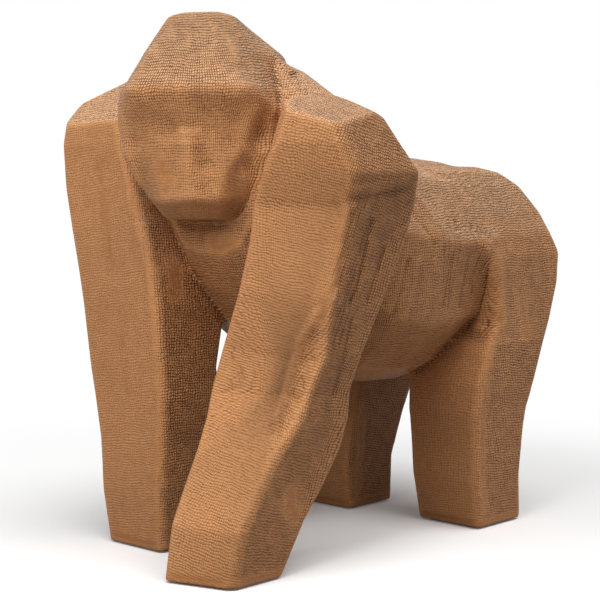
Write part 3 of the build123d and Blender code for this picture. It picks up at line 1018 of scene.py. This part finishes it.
class FIGURINE_OT_small_parts(bpy.types.Operator):
    """Gives the felt pads, dowels and plug their finishes"""

    bl_idname = "figurine.small_parts"
    bl_label = "Small Parts"

    def execute(self, context):
        materials = {word: plain_material(*finish) for word, *finish in FINISHES}
        for name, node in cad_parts.items():
            for word, material in materials.items():
                if word in name:
                    node.data.materials.clear()
                    node.data.materials.append(material)
        return {"FINISHED"}


# The stage


def shown_rays(start):
    """1 for rays of the camera, of reflections and through glass, and 0 for light that bounces."""
    kinds = ("Is Camera Ray", "Is Glossy Ray", "Is Transmission Ray")
    shown, *others = (start.node("ShaderNodeLightPath", {}, {}, output=kind) for kind in kinds)
    for other in others:
        shown = shown.math("MAXIMUM", other)
    return shown


def add_camera(scene, stage):
    """The camera of the photograph."""
    camera = bpy.data.cameras.new("camera")
    camera.lens = stage.camera_lens
    camera.sensor_width = SENSOR
    camera.clip_start, camera.clip_end = CAMERA_CLIP
    eye = bpy.data.objects.new("camera", camera)
    eye.location = stage.camera_place
    eye.rotation_euler = stage.camera_turn
    scene.collection.objects.link(eye)
    scene.camera = eye


def add_floor(stage):
    """A floor that shows as white paper with the figurine's shadow, and plain white farther off."""
    shape = bmesh.new()
    bmesh.ops.create_grid(shape, x_segments=1, y_segments=1, size=FLOOR_REACH)
    floor = new_object("floor", mesh_from(shape, "floor"))
    material, start = new_material("floor")
    plain = start.node("ShaderNodeBsdfDiffuse", {}, {"Color": rgba(stage.floor_colour)})
    paper = start.node("ShaderNodeBsdfDiffuse", {}, {"Color": PAPER})
    glow = start.node("ShaderNodeEmission", {}, {"Strength": PAPER_GLOW})
    lit = start.node("ShaderNodeAddShader", {}, {0: paper, 1: glow})
    white = start.node("ShaderNodeEmission", {}, {"Strength": 1.0})
    place = start.node("ShaderNodeTexCoord", {}, {}, output="Object")
    away = start.node("ShaderNodeVectorMath", {"operation": "LENGTH"}, {0: place}, output="Value")
    paper_shown = mix_shader(start, away.ease(*FLOOR_WHITENS), lit, white)
    close_material(start, mix_shader(start, shown_rays(start), plain, paper_shown))
    floor.data.materials.append(material)


def add_lamps(scene, stage):
    """A soft box near the head, so that its light falls off towards the feet, and a wide top light."""
    box = bpy.data.lights.new("front_light", "AREA")
    box.size = BOX_SIZE
    box.energy = stage.key_level
    top = bpy.data.lights.new("top_light", "SUN")
    top.angle = radians(TOP_SPREAD)
    top.energy = stage.top_level
    for lamp, (azimuth, height) in ((box, BOX_AIM), (top, TOP_AIM)):
        thing = bpy.data.objects.new(lamp.name, lamp)
        thing.rotation_euler = (radians(90.0 - height), 0.0, radians(azimuth))
        back = thing.rotation_euler.to_matrix() @ Vector((0.0, 0.0, LAMP_DISTANCE))
        thing.location = Vector(LIT_PLACE) + back
        thing.visible_camera = False
        scene.collection.objects.link(thing)


def add_world(scene, stage):
    """An even light all round, behind a background that shows white."""
    world = bpy.data.worlds.new("studio")
    scene.world = world
    world.use_nodes = True
    tree = world.node_tree
    tree.nodes.clear()
    start = Value(tree, None)
    strength = shown_rays(start) * (1.0 - stage.sky_level) + stage.sky_level
    sky = start.node("ShaderNodeBackground", {}, {"Color": (1, 1, 1, 1), "Strength": strength})
    start.node("ShaderNodeOutputWorld", {}, {"Surface": sky})


class FIGURINE_OT_stage(bpy.types.Operator):
    """Makes the floor, the soft lamps, the background and the camera"""

    bl_idname = "figurine.stage"
    bl_label = "Stage"

    def execute(self, context):
        scene, stage = context.scene, context.scene.figurine_stage
        add_camera(scene, stage)
        add_floor(stage)
        add_lamps(scene, stage)
        add_world(scene, stage)
        scene.view_settings.view_transform = "Standard"
        return {"FINISHED"}


class FIGURINE_OT_materials(bpy.types.Operator):
    """Makes the cast resin's material"""

    bl_idname = "figurine.materials"
    bl_label = "Cast Resin"

    def execute(self, context):
        resin_material(context.scene.figurine_skin)
        return {"FINISHED"}


class FIGURINE_PT_sidebar(bpy.types.Panel):
    """Lists the figurine's steps and settings"""

    bl_idname = "FIGURINE_PT_sidebar"
    bl_label = "Gorilla Figurine"
    bl_space_type = "VIEW_3D"
    bl_region_type = "UI"
    bl_category = "Figurine"

    def draw(self, context):
        for settings in (context.scene.figurine_skin, context.scene.figurine_stage):
            for name in settings.__annotations__:
                self.layout.prop(settings, name)
        for step in STEPS:
            self.layout.operator(step.bl_idname)


STEPS = (
    FIGURINE_OT_stage, FIGURINE_OT_materials, FIGURINE_OT_skin, FIGURINE_OT_head,
    FIGURINE_OT_limbs, FIGURINE_OT_torso, FIGURINE_OT_small_parts,
)
CLASSES = (SkinSettings, StageSettings, *STEPS, FIGURINE_PT_sidebar)


def register():
    """Adds the classes and settings to Blender."""
    for made in CLASSES:
        bpy.utils.register_class(made)
    bpy.types.Scene.figurine_skin = PointerProperty(type=SkinSettings)
    bpy.types.Scene.figurine_stage = PointerProperty(type=StageSettings)


def unregister():
    """Takes the classes and settings out of Blender."""
    del bpy.types.Scene.figurine_stage
    del bpy.types.Scene.figurine_skin
    for made in reversed(CLASSES):
        bpy.utils.unregister_class(made)


def main():
    """Makes everything in order."""
    register()
    bpy.ops.figurine.stage()
    bpy.ops.figurine.materials()
    bpy.ops.figurine.skin()
    bpy.ops.figurine.head()
    bpy.ops.figurine.limbs()
    bpy.ops.figurine.torso()
    bpy.ops.figurine.small_parts()


if __name__ == "__main__":
    main()
